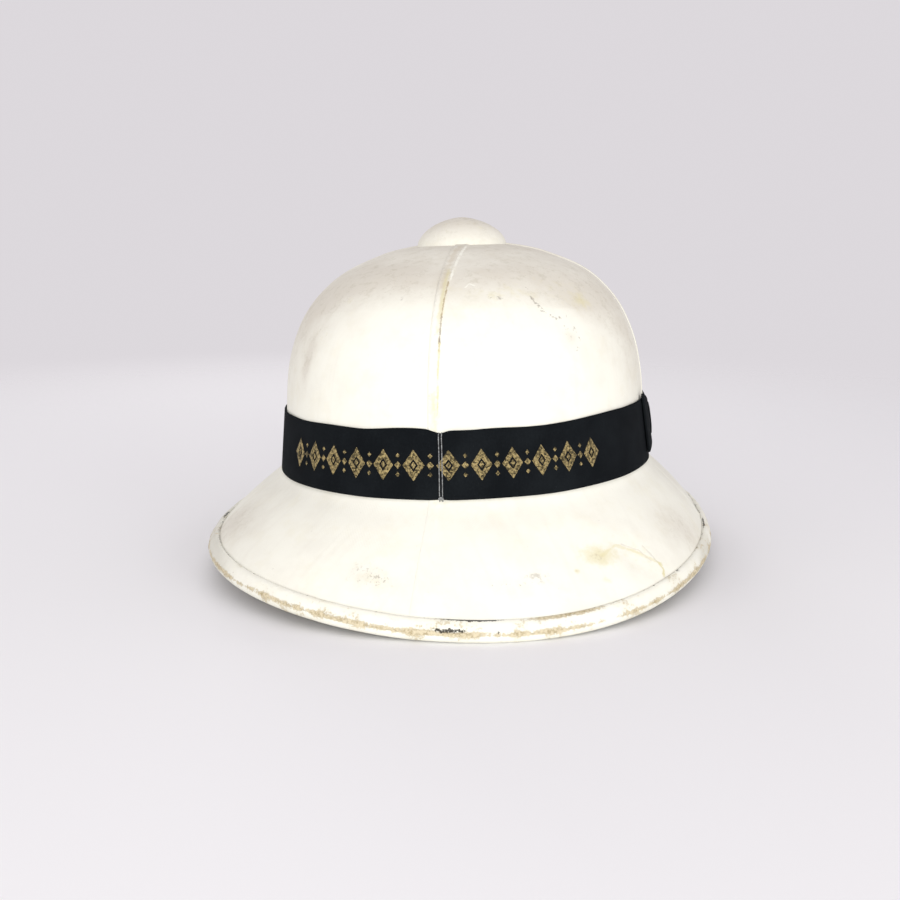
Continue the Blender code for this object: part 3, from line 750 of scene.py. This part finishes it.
def giltMaterial():
    recipe = Recipe("gilt_thread", 0.5, 0.40, Specular_IOR_Level=0.25)
    across, down = recipe.cloth()
    wires = (down * (2 * math.pi / 0.055)).sine()
    knots = (across * (2 * math.pi / 0.09) + down * 40).sine()
    fine = recipe.grain(0.0011, 3.0, 0.7)
    soft = recipe.grain(0.006, 3.0, 0.6)
    colour = recipe.mix(recipe.between(fine * 0.85 + soft * 0.15 + wires * 0.06, 0.44, 0.60),
                        ornament["tarnish"], ornament["gilt"])
    gaps = recipe.between(wires + knots * 0.5, -1.45, -0.75)
    colour = recipe.mix(1 - gaps, colour, (0.03, 0.028, 0.022))
    return recipe.finish(colour, wires * 0.8 + knots * 0.5 + fine, 0.00010, Roughness=0.42 + 0.3 * fine)


def makeOrnament():
    # Each motif is drawn flat, as metres across and up, and laid on the ribbon
    turn = [math.radians(ornament[key]) for key in ("start", "end")]
    reach = form["crownHalfLength"]
    half, tall, bar = ornament["wide"] / 2, ornament["tall"] / 2, ornament["bar"]
    points, faces, uv = [], [], []

    def addPatch(corners, cross, along):
        # A patch between four corners, in rows across and along
        first = len(points)
        a, b, c, d = (np.array(corner) for corner in corners)
        for i in range(along + 1):
            for j in range(cross + 1):
                s, r = i / along, j / cross
                flat = (a * (1 - r) + b * r) * (1 - s) + (d * (1 - r) + c * r) * s
                lift = ornament["rise"] * (1 - 0.75 * abs(2 * r - 1) ** 3)
                points.append((flat[0], flat[1], lift))
                uv.append((flat[0] * 100, flat[1] * 100))
        for i in range(along):
            for j in range(cross):
                k = first + i * (cross + 1) + j
                faces.append((k, k + 1, k + cross + 2, k + cross + 1))

    gap = (turn[1] - turn[0]) * reach / ornament["count"]
    left = turn[0] * reach
    inner = 1 - bar * math.hypot(half, tall) / (half * tall)
    for n in range(ornament["count"]):
        x = left + gap * (n + 0.5)
        outside = [(x - half, 0), (x, tall), (x + half, 0), (x, -tall)]
        inside = [(x + (px - x) * inner, py * inner) for px, py in outside]
        for k in range(4):
            m = (k + 1) % 4
            addPatch([outside[k], inside[k], inside[m], outside[m]], 4, 9)
        size = ornament["pellet"] * 0.42
        addPatch([(x - size, 0), (x, size * 1.3), (x + size, 0), (x, -size * 1.3)], 3, 3)
        if n:
            mid = x - gap / 2
            size = ornament["pellet"] / 2
            for up in (-0.0042, 0, 0.0042):
                r = size * (1.15 if up == 0 else 0.75)
                addPatch([(mid - r, up), (mid, up + r), (mid + r, up), (mid, up - r)], 3, 3)
    flat = np.array(points)
    angle = flat[:, 0] / reach
    share = ornament["middle"] - flat[:, 1] / form["ribbonWidth"]
    over = form["clearance"] + ribbon["wall"] + flat[:, 2]
    laid = bandPoints(share, angle, over)
    addPiece("gilt_ornament", laid, faces, giltMaterial(), "navy_silk", uv=uv)


makeOrnament()
print("ornament made")

# Tack stitch that holds the ribbon at the front

tack = {"apart": 0.0013, "thick": 0.00046, "colour": (0.30, 0.31, 0.31)}


def threadMaterial():
    recipe = Recipe("waxed_thread", 0.5, Specular_IOR_Level=0.4)
    twist = recipe.grain(0.0006, 2.0)
    colour = recipe.mix(recipe.between(twist, 0.4, 0.6), tack["colour"], (0.12, 0.12, 0.12))
    return recipe.finish(colour, twist, 0.0001)


def addThread(name, places, thick, material):
    curve = bpy.data.curves.new(name, "CURVE")
    curve.dimensions = "3D"
    curve.bevel_depth, curve.bevel_resolution, curve.use_fill_caps = thick / 2, 3, True
    line = curve.splines.new("BEZIER")
    line.bezier_points.add(len(places) - 1)
    for spot, place in zip(line.bezier_points, places):
        spot.co = place
        spot.handle_left_type = spot.handle_right_type = "AUTO"
    curve.materials.append(material)
    thread = bpy.data.objects.new(name, curve)
    bpy.context.scene.collection.objects.link(thread)
    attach(thread, "root")
    return thread


def makeTack():
    material = threadMaterial()
    over = form["clearance"] + ribbon["wall"] + tack["thick"] * 0.45
    shares = [-0.050, -0.015, 0.02, 0.25, 0.5, 0.75, 0.97, 1.015, 1.045]
    lifts = [-0.0012, -0.0002, over, over, over, over, over, 0.0006, -0.0008]
    for name, side in (("right", -0.5), ("left", 0.5)):
        angle = math.radians(ribbon["tackAngle"]) + side * tack["apart"] / form["crownHalfLength"]
        places = [bandPoints(share, angle, lift) for share, lift in zip(shares, lifts)]
        addThread("tack_thread_" + name, places, tack["thick"], material)
    knot = []
    for i in range(15):
        turn = i / 14 * 4 * math.pi
        angle = math.radians(ribbon["tackAngle"]) + 0.0009 * math.cos(turn) / form["crownHalfLength"]
        knot.append(bandPoints(0.985 + 0.020 * math.sin(turn), angle, over + 0.0001 + 0.0003 * (i % 3)))
    addThread("tack_knot", knot, tack["thick"] * 1.5, material)


makeTack()
print("tack stitch made")

# Bow on the wearer's left

bow = {
    "length": 0.0620,
    "height": 0.0300,
    "waist": 0.0150,
    "forward": -0.0040,
    "raise": 0.0022,
    "tilt": 0.0018,
    "knot": 0.0130,
    "turn": 0.00065,            # radius of the loops' folded ends
    "wall": 0.0005,
}


def besidePoints(along, height, standoff):
    # On the ribbon's outer face at the wearer's left: metres forwards of the widest
    # point, above the ribbon's middle and off its face
    share = 0.5 - height / form["ribbonWidth"]
    halfWidth = form["crownHalfWidth"] + form["bandFlare"] * share
    halfLength = form["crownHalfLength"] + form["bandFlare"] * share
    power = form["crownPower"]
    x = halfWidth * (1 - abs(along / halfLength) ** power) ** (1 / power)
    facing = np.stack([(x / halfWidth) ** (power - 1) / halfWidth,
                       -np.sign(along) * abs(along / halfLength) ** (power - 1) / halfLength,
                       form["bandFlare"] / form["ribbonWidth"] / halfWidth], axis=-1)
    z = form["bandHeight"] + form["ribbonWidth"] * (1 - share)
    off = form["clearance"] + ribbon["wall"] + standoff
    return leaned(np.stack([x, -along, z], axis=-1) + unit(facing) * off[..., None],
                  form["lean"]) + form["seat"]


def makeLoop(name, node, side):
    turn = bow["turn"]
    knotEdge = bow["knot"] / 2 - 0.001
    length = bow["length"] / 2 - turn
    outs = np.linspace(0.0002, length, 30)
    pressed = 1 - 0.35 * np.exp(-(outs / 0.012) ** 2)
    route = [(out, form["clearance"]) for out in outs]
    route += [(length + turn * math.sin(a), form["clearance"] + turn - turn * math.cos(a))
              for a in np.linspace(0.4, math.pi - 0.4, 6)]
    route += [(out, form["clearance"] + 2 * turn * press) for out, press in zip(outs[::-1], pressed[::-1])]
    route = np.array(route)
    rows = []
    for share in np.linspace(0.5, -0.5, 22):
        opened = np.clip((route[:, 0] - knotEdge) / (length - knotEdge), 0, 1)
        height = bow["waist"] + (bow["height"] - bow["waist"]) * opened ** 0.7
        rise = bow["raise"] + side * bow["tilt"] * opened
        outer = route[:, 1] > turn * 0.9
        pleat = np.cos(share * 4 * math.pi) * 0.00022 * (1 - opened) ** 1.5 * outer
        swell = 0.00014 * np.sin(math.pi * opened) * outer * math.cos(share * 2.6)
        rows.append(besidePoints(bow["forward"] + side * route[:, 0], share * height + rise,
                                 route[:, 1] + pleat + swell))
    grid = np.array(rows)
    if side < 0:
        grid = grid[:, ::-1]
    piece = addGrid(name, grid, silk, "navy_silk", stands=(node,))
    addWall(piece, bow["wall"])


def makeWrap():
    over = form["clearance"] + bow["turn"] * 1.5
    half = bow["waist"] / 2 + form["clearance"]
    spots = [(-half - 0.0002, 0.0002), (-half - 0.0008, over * 0.55), (-half + 0.0002, over + 0.0001),
             (-half * 0.6, over + 0.0004), (0, over + 0.0005), (half * 0.6, over + 0.0004),
             (half - 0.0002, over + 0.0001), (half + 0.0008, over * 0.55), (half + 0.0002, 0.0002)]
    route = np.array([(0.5 * (h0 + h1) if k else h0, 0.5 * (s0 + s1) if k else s0)
                      for (h0, s0), (h1, s1) in zip(spots, spots[1:]) for k in (0, 1)] + [spots[-1]])
    columns = np.linspace(0.5, -0.5, 20)
    grid = np.empty((len(columns), len(route), 3))
    for i, share in enumerate(columns):
        edge = 0.0008 * abs(2 * share) ** 6
        crease = 0.00022 * np.cos(share * 5 * math.pi) * (1 - abs(2 * share) ** 4)
        along = bow["forward"] + share * bow["knot"] * (1 - 0.06 * np.cos(route[:, 0] / half * 1.4))
        grid[i] = besidePoints(along, bow["raise"] + route[:, 0], route[:, 1] + crease - edge)
    piece = addGrid("bow_wrap", grid, silk, "navy_silk", stands=("bow_knot",))
    addWall(piece, bow["wall"], side=1)


makeLoop("bow_front_loop", "bow_loop_front", 1)
makeLoop("bow_back_loop", "bow_loop_back", -1)
makeWrap()
print("bow made")

# Ventilator button

button = {"radius": 0.0232, "height": 0.0141, "power": 1.75, "columns": 132, "rows": 34}


def makeButton():
    levels = np.linspace(0.02, 0.5, 400)
    rises, reaches = curveThrough(crownSections, levels, levelStart=True)
    rise = np.interp(button["radius"], form["crownHalfWidth"] * reaches, rises)
    base = form["bandHeight"] + form["ribbonWidth"] + form["crownRise"] * rise + form["clearance"]
    turn = np.linspace(0.004, quarter, button["rows"])
    outs = button["radius"] * np.sin(turn) ** (2 / button["power"])
    ups = base + button["height"] * np.cos(turn) ** (2 / button["power"])
    # The cloth turns under round the button's edge
    outs = np.append(outs, button["radius"] + np.array([0.00035, 0.0003, -0.0001, -0.0010]))
    ups = np.append(ups, base + np.array([-0.0004, -0.0009, -0.0013, -0.0012]))
    around = np.linspace(-math.pi, math.pi, button["columns"])
    grid = np.stack([outs[:, None] * np.sin(around), -outs[:, None] * np.cos(around),
                     ups[:, None] * np.ones(len(around))], axis=-1)
    centre = np.array([0, 0, base])
    uneven = wander(grid * (1, 1, 0.7), 0.010, 8) * 0.00022 + wander(grid, 0.003, 9) * 0.00005
    grid = grid + unit(grid - centre) * uneven[..., None]
    grid = leaned(grid, form["lean"]) + form["seat"]
    marks = np.zeros(grid.shape)
    # The second channel darkens the button towards its top: partly dirt, partly painted shade where the
    # light falls off
    marks[..., 1] = np.clip(np.linspace(1.3, 0.15, len(grid)), 0, 1)[:, None]
    marks[..., 0] = 0.16
    marks[:len(grid) // 3, :, 2] = 0.60
    addGrid("canvas_button", grid, canvasCloth, "white_canvas", stands=("vent_cap",),
            marks={"marks": marks}, numbers={"past": np.full(grid.shape[:2], 20.0)})


makeButton()
print("button made")

# Cork and metal of the pieces kept from the CAD model


def corkMaterial():
    recipe = Recipe("pressed_cork", 0.88, Specular_IOR_Level=0.2)
    grains = recipe.cells(0.0032, "F1", "Color")
    tone = recipe.node("SeparateColor", {}, {0: grains}, "Red")
    edges = recipe.cells(0.0032, "DISTANCE_TO_EDGE")
    pores = recipe.between(recipe.grain(0.0018, 4.0, 0.7), 0.60, 0.70)
    colour = recipe.mix(tone, (0.40, 0.26, 0.145), (0.60, 0.44, 0.27))
    colour = recipe.mix((1 - recipe.between(edges, 0.0, 0.10)) * 0.5, colour, (0.22, 0.13, 0.07))
    colour = recipe.mix(pores * 0.7, colour, (0.14, 0.08, 0.045))
    sheets = recipe.grain(0.05, 2.0)
    colour = recipe.mix(recipe.between(sheets, 0.4, 0.7, 0.0, 0.35), colour, (0.34, 0.22, 0.12))
    return recipe.finish(colour, recipe.between(edges, 0.0, 0.12) - pores, 0.0003)


def zincMaterial():
    recipe = Recipe("dull_zinc", 0.45, 1.0)
    soft = recipe.grain(0.004, 4.0, 0.6)
    colour = recipe.mix(recipe.between(soft, 0.4, 0.65), (0.50, 0.51, 0.52), (0.33, 0.33, 0.33))
    return recipe.finish(colour, soft, 0.00005, Roughness=0.35 + 0.3 * soft)


for node, material in (("cork_shell", corkMaterial()), ("vent_collet", zincMaterial())):
    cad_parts[node].material_slots[0].material = material
print("cork and metal set")

# Camera, light and floor

view = {
    "place": (0.07225, -0.60371, 0.16512),
    "forward": (-0.1323, 0.9732, -0.1882),
    "right": (0.9909, 0.1348, 0.0007),
    "lens": 44.8,
    "floor": (0.88, 0.88, 0.89),
    "air": (0.72, 0.69, 0.72),
    "lampColour": (1.0, 0.995, 0.96),
    "lampsAim": (0, 0, 0.08),
    "floorRadius": 2.0,
    "floorFades": (0.35, 1.1),  # metres from the middle
}
lamps = [  # soft round lamps: metres and watts
    {"name": "key", "place": (0.14, -1.45, 0.34), "size": 0.7, "power": 8.6},
    {"name": "right_fill", "place": (0.95, -1.05, 0.34), "size": 0.6, "power": 4.2},
    {"name": "left_fill", "place": (-0.90, -1.15, 0.34), "size": 0.6, "power": 1.7},
    {"name": "rear_fill", "place": (-0.55, 1.25, 0.55), "size": 0.6, "power": 3.0},
]


def makeCamera():
    forward = Vector(view["forward"]).normalized()
    right = Vector(view["right"])
    right = (right - forward * right.dot(forward)).normalized()
    up = right.cross(forward)
    turn = Matrix((right, up, -forward)).transposed()
    lens = bpy.data.cameras.new("view")
    lens.lens, lens.sensor_width = view["lens"], 36
    camera = bpy.data.objects.new("view", lens)
    camera.matrix_world = Matrix.Translation(view["place"]) @ turn.to_4x4()
    bpy.context.scene.collection.objects.link(camera)
    bpy.context.scene.camera = camera


def addLamp(name, place, size, power):
    lamp = bpy.data.lights.new(name, "AREA")
    lamp.shape, lamp.size, lamp.energy, lamp.color = "DISK", size, power, view["lampColour"]
    item = bpy.data.objects.new(name, lamp)
    item.location = place
    aim = Vector(view["lampsAim"]) - Vector(place)
    item.rotation_euler = aim.to_track_quat("-Z", "Y").to_euler()
    bpy.context.scene.collection.objects.link(item)


def makeStage():
    recipe = Recipe("pale_floor", 0.9)
    apart = recipe.node("VectorMath", {"operation": "LENGTH"}, {0: recipe.place()}, "Value")
    shade = recipe.finish(view["floor"])
    clear = recipe.node("BsdfTransparent")
    solid = Socket(recipe, recipe.shader.outputs[0])
    faded = recipe.between(apart, *view["floorFades"])
    blend = recipe.node("MixShader", {}, {0: faded, 1: solid, 2: clear})
    recipe.tree.links.new(blend.link, recipe.tree.nodes["Material Output"].inputs["Surface"])
    mesh = bpy.data.meshes.new("floor")
    turns = [math.pi * i / 32 for i in range(64)]
    ring = [(view["floorRadius"] * math.cos(turn), view["floorRadius"] * math.sin(turn), 0)
            for turn in turns]
    mesh.from_pydata(ring, [], [tuple(range(len(ring)))])
    mesh.materials.append(shade)
    floor = bpy.data.objects.new("floor", mesh)
    bpy.context.scene.collection.objects.link(floor)
    world = bpy.data.worlds.new("studio")
    bpy.context.scene.world = world
    world.use_nodes = True
    air = world.node_tree.nodes["Background"]
    air.inputs["Color"].default_value = (*view["air"], 1)
    air.inputs["Strength"].default_value = 1.0
    bpy.context.scene.view_settings.view_transform = "Standard"


makeCamera()
makeStage()
for row in lamps:
    addLamp(**row)
print("camera and light set")
